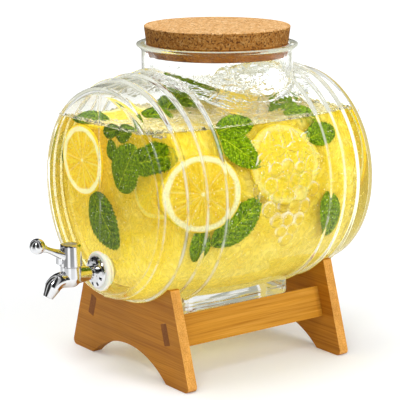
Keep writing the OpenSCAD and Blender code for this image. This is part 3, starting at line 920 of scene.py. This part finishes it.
LEMON_PITH = (0.91, 0.85, 0.50)
LEMON_PULP = (0.76, 0.47, 0.008)
LEMON_JUICE = (0.88, 0.66, 0.05)
LEMON_RIND = (0.86, 0.62, 0.02)
DRINK_TONE = (0.86, 0.68, 0.06)
LEAF_DARK = (0.04, 0.10, 0.0)
LEAF_MID = (0.17, 0.28, 0.0)
LEAF_LIGHT = (0.50, 0.58, 0.02)
SLICE_THICK = 3.6
SLICE_STEPS = 160
LEAF_CURL = 2.5
LEAF_THICK = 0.35


def on_wall(y0, degrees, inset):
    """Bends a flat thing onto the inside of the belly, its face outwards."""
    a0 = math.radians(degrees)

    def at(p, q, h):
        along = y0 + p - AXIS_Y
        return place_round(belly(along) - WALL - inset + h, along, a0 + q / BELLY_R)
    return at


def on_front(x0, z0, inset):
    def at(p, q, h):
        return (x0 + p, AXIS_Y - INSIDE_Y + inset - h, z0 + q)
    return at


def free(centre, normal):
    """A flat thing round a centre, facing along a normal."""
    n = Vector(normal).normalized()
    side = Vector((0, 0, 1)).cross(n).normalized()
    lift = n.cross(side)

    def at(p, q, h):
        return tuple(Vector(centre) + side * p + lift * q + n * h)
    return at


def paint(ob, colours):
    layer = ob.data.color_attributes.new("tint", "FLOAT_COLOR", "POINT")
    layer.data.foreach_set("color", [c for colour in colours for c in (*colour, 1.0)])


def between(a, b, t):
    """A colour between two others."""
    t = max(0.0, min(1.0, t))
    return tuple(x + (y - x) * t for x, y in zip(a, b))


def segment_walls(rng):
    """The angles of the thin walls between a slice's segments, a little uneven."""
    parts = rng.choice((9, 10, 10, 11))
    walls = []
    a = rng.random()
    for k in range(parts):
        walls.append(a)
        a += 2 * math.pi / parts * rng.uniform(0.86, 1.14)
    scale = 2 * math.pi / (a - walls[0])
    return [walls[0] + (w - walls[0]) * scale for w in walls]


def lemon_slice(name, at, radius, seed, fade, tone):
    walls = segment_walls(random.Random(seed))
    rings = [radius * k / 30 for k in range(1, 27)]
    rings += [radius * f for f in (0.90, 0.93, 0.955, 0.975, 0.99, 1.0)]
    verts = []
    colours = []

    def point(r, ang, side):
        f = r / radius
        gap = min(abs((ang - w + math.pi) % (2 * math.pi) - math.pi) for w in walls) * r
        in_pulp = smooth_step((0.845 - f + 0.012 * math.sin(len(walls) * (ang - walls[0]))) / 0.05)
        membrane = 1 - smooth_step((gap - 0.1) / 0.9)
        core = 1 - smooth_step((f - 0.03) / 0.05)
        pale = max(membrane * 0.36 * (0.35 + 0.65 * f), core * 0.85)
        grain = noise.noise(Vector((math.cos(ang) * 11 + seed, math.sin(ang) * 11, f * 3)))
        colour = between(LEMON_PULP, LEMON_JUICE, 0.5 + 0.9 * grain)
        colour = between(LEMON_PITH, between(colour, LEMON_PITH, pale), in_pulp)
        colour = between(colour, LEMON_RIND, smooth_step((f - 0.935) / 0.04))
        # Painted shade: the tone darkens the whole slice.
        colours.append(tuple(tone * c for c in between(colour, DRINK_TONE, fade)))
        height = SLICE_THICK / 2 - 0.35 * in_pulp * (1 - pale) + 0.15 * grain * in_pulp
        height -= 0.5 * smooth_step((f - 0.97) / 0.03)
        verts.append(at(r * math.cos(ang), r * math.sin(ang), side * height))

    for side in (1, -1):
        for r in rings:
            for k in range(SLICE_STEPS):
                point(r, 2 * math.pi * k / SLICE_STEPS, side)
        point(0.0, 0.0, side)
    centre = len(rings) * SLICE_STEPS
    block = centre + 1
    rim = centre - SLICE_STEPS
    faces = []
    for b in (0, block):
        faces += strips(len(rings), SLICE_STEPS, b)
        faces += [(b + centre, b + k, b + (k + 1) % SLICE_STEPS) for k in range(SLICE_STEPS)]
    for k in range(SLICE_STEPS):
        m = (k + 1) % SLICE_STEPS
        faces.append((rim + k, rim + m, block + rim + m, block + rim + k))
    ob = new_object(name, verts, faces)
    paint(ob, colours)
    return tidy_normals(ob)


def mint_leaf(name, at, long, wide, turn, seed):
    """A toothed oval leaf, puckered between its side veins."""
    rng = random.Random(seed)
    rows = 60
    half = 16
    ca = math.cos(math.radians(turn))
    sa = math.sin(math.radians(turn))
    teeth = rng.randint(9, 11)
    tone = rng.uniform(0.0, 0.45)
    verts = []
    colours = []
    for i in range(rows + 1):
        t = i / rows
        body = wide / 2 * math.sin(math.pi * t ** 0.80) ** 0.62 if 0 < t < 1 else 0.0
        tooth = (teeth * t * 1.6) % 1.0
        w = max(0.05, body * (0.93 + 0.14 * tooth))
        for j in range(-half, half + 1):
            s = j / half
            p = long * (t - 0.5) + abs(s) * w * 0.10 + 0.9 * tooth * abs(s) ** 3
            q = s * w
            vein_at = (t * long - abs(q) * 0.75) / (long / 8.5)
            vein = 1 - smooth_step((abs(vein_at - round(vein_at)) - 0.04) / 0.10)
            mid = 1 - smooth_step((abs(q) - 0.25) / 0.5)
            pucker = (1 - vein) * math.sin(math.pi * min(1.0, abs(s) * 1.2)) * 1.5
            rough = noise.noise(Vector((p * 0.45 + seed, q * 0.45, 0.3)))
            h = pucker + 0.5 * rough * (1 - mid) - 0.9 * mid
            h += 1.3 * abs(s) ** 1.5 - LEAF_CURL * (2 * t - 1) ** 2
            colour = between(LEAF_DARK, LEAF_MID, 0.45 + tone + 0.9 * rough)
            colours.append(between(colour, LEAF_LIGHT, max(0.55 * vein * (1 - abs(s) ** 3), 0.8 * mid)))
            verts.append(at(p * ca - q * sa, p * sa + q * ca, h))
    ob = sheet(name, verts, 2 * half + 1)
    paint(ob, colours)
    solid = ob.modifiers.new("thickness", "SOLIDIFY")
    solid.thickness = LEAF_THICK * MM
    solid.offset = 0
    return ob


# The slices and leaves glow a little: painted light.
lemon_mat = painted_material("lemon", 0.4, 0.34, 700.0, 0.0005, 0.3)
mint_mat = painted_material("mint", 0.45, 0.18, 900.0, 0.0004, 0.0, 0.13)

# Each slice: its place, radius, seed, how far it fades into the drink, and its tone, a painted shade on
# slices the lamps light too brightly
SLICES = {
    "lemon_front": (on_front(-30.8, 173, 3.5), 29, 1, 0, 1.0),
    "lemon_side": (on_wall(-38.4, 7, 3.2), 34.5, 2, 0, 0.64),
    "lemon_corner": (free((54, -52, 160), (0.25, -0.96, 0.05)), 21, 3, 0.62, 0.85),
    "lemon_behind_grapes": (on_wall(44, 16, 7.0), 36, 4, 0.66, 0.68),
    "lemon_afloat_front": (free((-30, -36, 204.5), (0.05, -0.1, 1)), 29, 5, 0.3, 0.9),
    "lemon_afloat_back": (free((8, 70, 204.5), (0.1, 0.06, 1)), 30, 6, 0.3, 0.9),
    "lemon_left": (on_wall(10, 172, 4), 32, 7, 0, 1.0),
    "lemon_left_back": (on_wall(76, 190, 4), 30, 8, 0, 1.0),
    "lemon_back": (free((20, 132.5, 165), (0, 1, 0.03)), 31, 9, 0, 0.95),
}
for name, (at, radius, seed, fade, tone) in SLICES.items():
    ob = lemon_slice(name, at, radius, seed, fade, tone)
    assign(ob, lemon_mat)
    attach(ob, "barrel")

# Each leaf: its place, length, width and turn
FIRST_LEAF_SEED = 11
LEAVES_OF_MINT = {
    "mint_front_high": (on_front(30.5, 176, 4), 46, 37, 56),
    "mint_corner": (free((51, -59, 184), (0.6, -0.78, 0.2)), 34, 23, 10),
    "mint_front_low": (on_front(-1, 128, 3.5), 54, 38, -44),
    "mint_front_small": (on_front(12, 187.5, 4), 19, 15, -55),
    "mint_front_line": (on_front(9, 202.5, 5), 24, 12, 12),
    "mint_front_tip": (on_front(26, 203, 6), 24, 15, 18),
    "mint_afloat_left": (free((-32, -60, 207), (0.3, -0.5, 0.8)), 32, 16, 4),
    "mint_afloat_mid": (free((-5, -20, 208), (0.5, -0.4, 0.8)), 28, 15, 0),
    "mint_afloat_far": (free((-40, 19, 207), (0.7, -0.5, 0.5)), 32, 22, 55),
    "mint_afloat_far_2": (free((-37, 42, 207), (0.7, -0.5, 0.5)), 42, 22, -18),
    "mint_under_slice": (on_wall(-37, -22, 4.5), 36, 18, -86),
    "mint_under_neck": (on_wall(5, 39, 3.5), 38, 22, 8),
    "mint_under_neck_2": (on_wall(1, 26, 3.0), 42, 27, -48),
    "mint_middle": (on_wall(-6, -11, 3.5), 56, 31, 45),
    "mint_afloat_right": (free((24, 90, 207), (0.7, -0.4, 0.6)), 27, 19, 30),
    "mint_afloat_right_2": (free((58, 82, 204), (0.75, -0.3, 0.6)), 30, 19, -24),
    "mint_back_high": (on_wall(88, 29, 3.5), 36, 22, 10),
    "mint_back_low": (on_wall(92, -16, 3.5), 48, 23, -76),
    "mint_left": (on_wall(-30, 168, 4), 44, 26, 40),
    "mint_left_2": (on_wall(40, 196, 4), 46, 27, -60),
    "mint_behind": (free((-28, 132.8, 185), (0, 1, 0)), 42, 25, 30),
    "mint_behind_2": (free((-5, 132.8, 122), (0, 1, 0)), 46, 26, -50),
}
for seed, (name, (at, long, wide, turn)) in enumerate(LEAVES_OF_MINT.items()):
    ob = mint_leaf(name, at, long, wide, turn, FIRST_LEAF_SEED + seed)
    assign(ob, mint_mat)
    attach(ob, "barrel")


def balls(name, places, steps):
    """Many small balls in one mesh: middle and radius of each."""
    bm = bmesh.new()
    bmesh.ops.create_icosphere(bm, subdivisions=steps, radius=1.0)
    bm.verts.ensure_lookup_table()
    unit = [tuple(v.co) for v in bm.verts]
    sides = [tuple(v.index for v in f.verts) for f in bm.faces]
    bm.free()
    verts = []
    faces = []
    for x, y, z, size in places:
        first = len(verts)
        verts += [(x + size * a, y + size * b, z + size * c) for a, b, c in unit]
        faces += [tuple(first + k for k in side) for side in sides]
    return new_object(name, verts, faces)


def bubbles(name, count, seed):
    """Bubbles afloat on the drink, most of them along the glass."""
    rng = random.Random(seed)
    reach_y = INSIDE_Y - 2
    places = []
    for _ in range(count):
        size = rng.choice((0.4, 0.5, 0.7, 0.9, 1.2, 1.6)) * rng.uniform(0.8, 1.2)
        y = rng.uniform(-reach_y, reach_y)
        wide = math.sqrt((belly(y) - WALL) ** 2 - (LEVEL - AXIS_Z) ** 2) - size
        kind = rng.random()
        if kind < 0.4:
            x = math.copysign(wide - rng.expovariate(0.4), rng.choice((-1, 1)))
        elif kind < 0.6:
            x = rng.uniform(-wide, wide)
            y = math.copysign(reach_y - rng.expovariate(0.4), rng.choice((-1, -1, 1)))
        else:
            x = rng.gauss(0, 0.5) * wide
        x = max(-wide, min(wide, x))
        places.append((x, AXIS_Y + y, LEVEL + 0.3 * size, size))
    return balls(name, places, 2)


def clinging_bubbles(name, count, seed):
    """Tiny bubbles that cling to the inside of the glass, under the drink."""
    rng = random.Random(seed)
    places = []
    for _ in range(count):
        size = rng.uniform(0.22, 0.5)
        if rng.random() < 0.4:
            r = (BAND_R - WALL - 8) * math.sqrt(rng.random())
            a = rng.uniform(0, 2 * math.pi)
            h = (-1 if rng.random() < 0.7 else 1) * (INSIDE_Y - 0.6 - size)
        else:
            h = rng.uniform(-96, 96)
            r = belly(h) - WALL - 0.4 - size
            a = rng.choice((0.0, 0.0, math.pi)) + rng.gauss(0, 0.35)
        x, y, z = place_round(r, h, a)
        if z < LEVEL - 3:
            places.append((x, y, z, size))
    return balls(name, places, 1)


foam = bubbles("bubbles", 1800, 5)
assign(foam, bubble_material())
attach(foam, "barrel")
fizz = clinging_bubbles("fizz", 900, 8)
assign(fizz, fizz_material())
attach(fizz, "barrel")


# CAD nodes that keep their own shape

CHROME_TONE = (0.86, 0.86, 0.87)
chrome = metal_material("chromed_metal", CHROME_TONE, 0.05)
flange = metal_material("chromed_flange", CHROME_TONE, 0.05, dimpled=True)
steel = metal_material("plain_steel", (0.62, 0.62, 0.60), 0.28, 0.05)
cap_metal = metal_material("cap_metal", (0.80, 0.80, 0.79), 0.42, 0.05)
# The silicone's glow is painted light.
silicone = soft_material("silicone", (0.78, 0.77, 0.68), 0.35, 0.2)
plastic = soft_material("seal_plastic", (0.88, 0.88, 0.86), 0.45)
rubber = soft_material("black_rubber", (0.03, 0.03, 0.03), 0.6)
# Painted shade: the panels' tone darkens their broad faces, and their end tone lifts the edges back.
across = bamboo_material("bamboo_across", 0, (1.5, 1.86, 6.0), (0.78, 0.72, 0.5))
along = bamboo_material("bamboo_along", 1, (0.4, 0.28, 0.24), (1.0, 1.08, 1.2))
FINISHES = {
    "cork_lid": cork_material(), "stand_front_panel": across, "stand_back_panel": across,
    "stand_left_rail": along, "stand_right_rail": along, "tap_body": chrome, "tap_flange": flange,
    "tap_handle": chrome, "lever_ball": chrome, "handle_cap": cap_metal, "nut_washer": steel,
    "lock_nut": steel, "bonnet_ring": steel, "valve_plug": steel, "handle_screw": steel,
    "outer_washer": silicone, "inner_washer": silicone, "valve_seal": plastic, "stem_o_ring": rubber,
}
for name, mat in FINISHES.items():
    assign(nodes[name], mat)


# Floor, light and camera

BEHIND_GLASS = 0.92
LIGHT_ROUND = 0.5
CARDS = 6.0
CARD_PHASE = 0.878
FLOOR_HALF = 9000
FLOOR_Z = -0.1


def card_strips(g, x, y):
    """Upright strips of light and dark all round, as a studio's cards would give."""
    swept = g.times(g.maths("ARCTAN2", y, x), CARDS)
    return g.maths("SINE", g.maths("ADD", swept, CARD_PHASE))


def floor_material():
    """A white floor that shows soft shadows near the object and plain white far away."""
    g = new_shader("floor")
    tone = g.ramp(g.noise(g.at(), 6.0, 1.0), (0.3, (0.885, 0.90, 0.925)), (0.7, (0.89, 0.905, 0.93)))
    away = g.add("VectorMath", "Value", {0: g.add("TexCoord", "Object")}, operation="LENGTH")
    far = g.span(away, 0.22, 0.7, 0.0, 1.0, "LINEAR")
    through_glass = g.times(g.ray("Is Transmission Ray"), BEHIND_GLASS)
    shown = g.maths("ADD", g.ray("Is Camera Ray"), through_glass, clamp=True)
    seen = g.times(shown, g.maths("ADD", g.times(far, 0.9), 0.12))
    x, y, z = g.parts()
    cards = g.ramp(card_strips(g, x, y), (0.0, grey(0.03)), (0.25, grey(0.2)), (0.6, grey(0.85)))
    in_gloss = g.times(g.times(cards, far), g.ray("Is Glossy Ray"))
    glow = g.add("Emission", 0, {"Color": (1, 1, 1), "Strength": g.maths("ADD", seen, in_gloss)})
    base = g.plain("BsdfDiffuse", g.mix(far, tone, (0.22, 0.22, 0.22)))
    return g.finish(g.add("AddShader", 0, {0: base, 1: glow}))


corners = ((-1, -1), (1, -1), (1, 1), (-1, 1))
floor = new_object("floor", [(sx * FLOOR_HALF, sy * FLOOR_HALF, FLOOR_Z) for sx, sy in corners],
                   [(0, 1, 2, 3)], smooth=False)
assign(floor, floor_material())


def world_light():
    """White for the camera and through glass, bright cards in reflections, and soft light all round."""
    world = bpy.data.worlds.new("studio")
    bpy.context.scene.world = world
    g = Shader(world)
    x, y, z = g.parts(g.add("TexCoord", "Generated"))
    cards = card_strips(g, x, y)
    around = g.ramp(cards, (0.0, grey(0.05)), (0.4, grey(0.12)), (0.78, grey(0.9)), (1.0, grey(1.0)))
    height = g.ramp(z, (0.0, grey(0.9)), (0.12, grey(0.6)), (0.5, grey(0.5)), (0.8, grey(0.5)),
                    (0.9, grey(1.0)), (1.0, grey(1.0)))
    through = g.ramp(cards, (0.0, (0.42, 0.43, 0.36)), (0.12, (0.76, 0.77, 0.73)),
                     (0.35, grey(BEHIND_GLASS)))
    lit = g.mix(g.ray("Is Glossy Ray"), grey(LIGHT_ROUND), g.tint(around, height))
    glassy = g.mix(g.ray("Is Transmission Ray"), lit, through)
    shown = g.mix(g.ray("Is Camera Ray"), glassy, grey(1.0))
    g.add("OutputWorld", 0, {"Surface": g.add("Background", 0, {"Color": shown, "Strength": 1.0})})


world_light()


def lamp(name, place, size, power):
    """A square lamp that shines at the barrel and shows in no reflection."""
    data = bpy.data.lights.new(name, "AREA")
    data.shape = "RECTANGLE"
    data.size = size
    data.size_y = size
    data.energy = power
    ob = bpy.data.objects.new(name, data)
    ob.location = place
    ob.rotation_euler = (Vector((0, 0, 0.12)) - Vector(place)).to_track_quat("-Z", "Y").to_euler()
    ob.visible_glossy = False
    bpy.context.scene.collection.objects.link(ob)
    return ob


lamp("top", (-0.3, -0.5, 3.0), 1.8, 40)
lamp("side", (2.8, 0.6, 1.3), 1.4, 48)
lamp("spark", (1.0, -1.4, 1.9), 0.4, 9).visible_glossy = True

camera_data = bpy.data.cameras.new("camera")
camera_data.sensor_width = 36
camera_data.lens = 145.08
camera_data.clip_start = 0.05
camera_data.clip_end = 60
camera = bpy.data.objects.new("camera", camera_data)
bpy.context.scene.collection.objects.link(camera)
right = Vector((0.59937, 0.80047, -0.0007)).normalized()
back = Vector((0.78089, -0.58451, 0.22035)).normalized()
up = back.cross(right).normalized()
place = Vector((1.05456, -0.76633, 0.42977))
camera.matrix_world = Matrix.Translation(place) @ Matrix((right, up, back)).transposed().to_4x4()
bpy.context.scene.camera = camera
bpy.context.scene.view_settings.view_transform = "Standard"
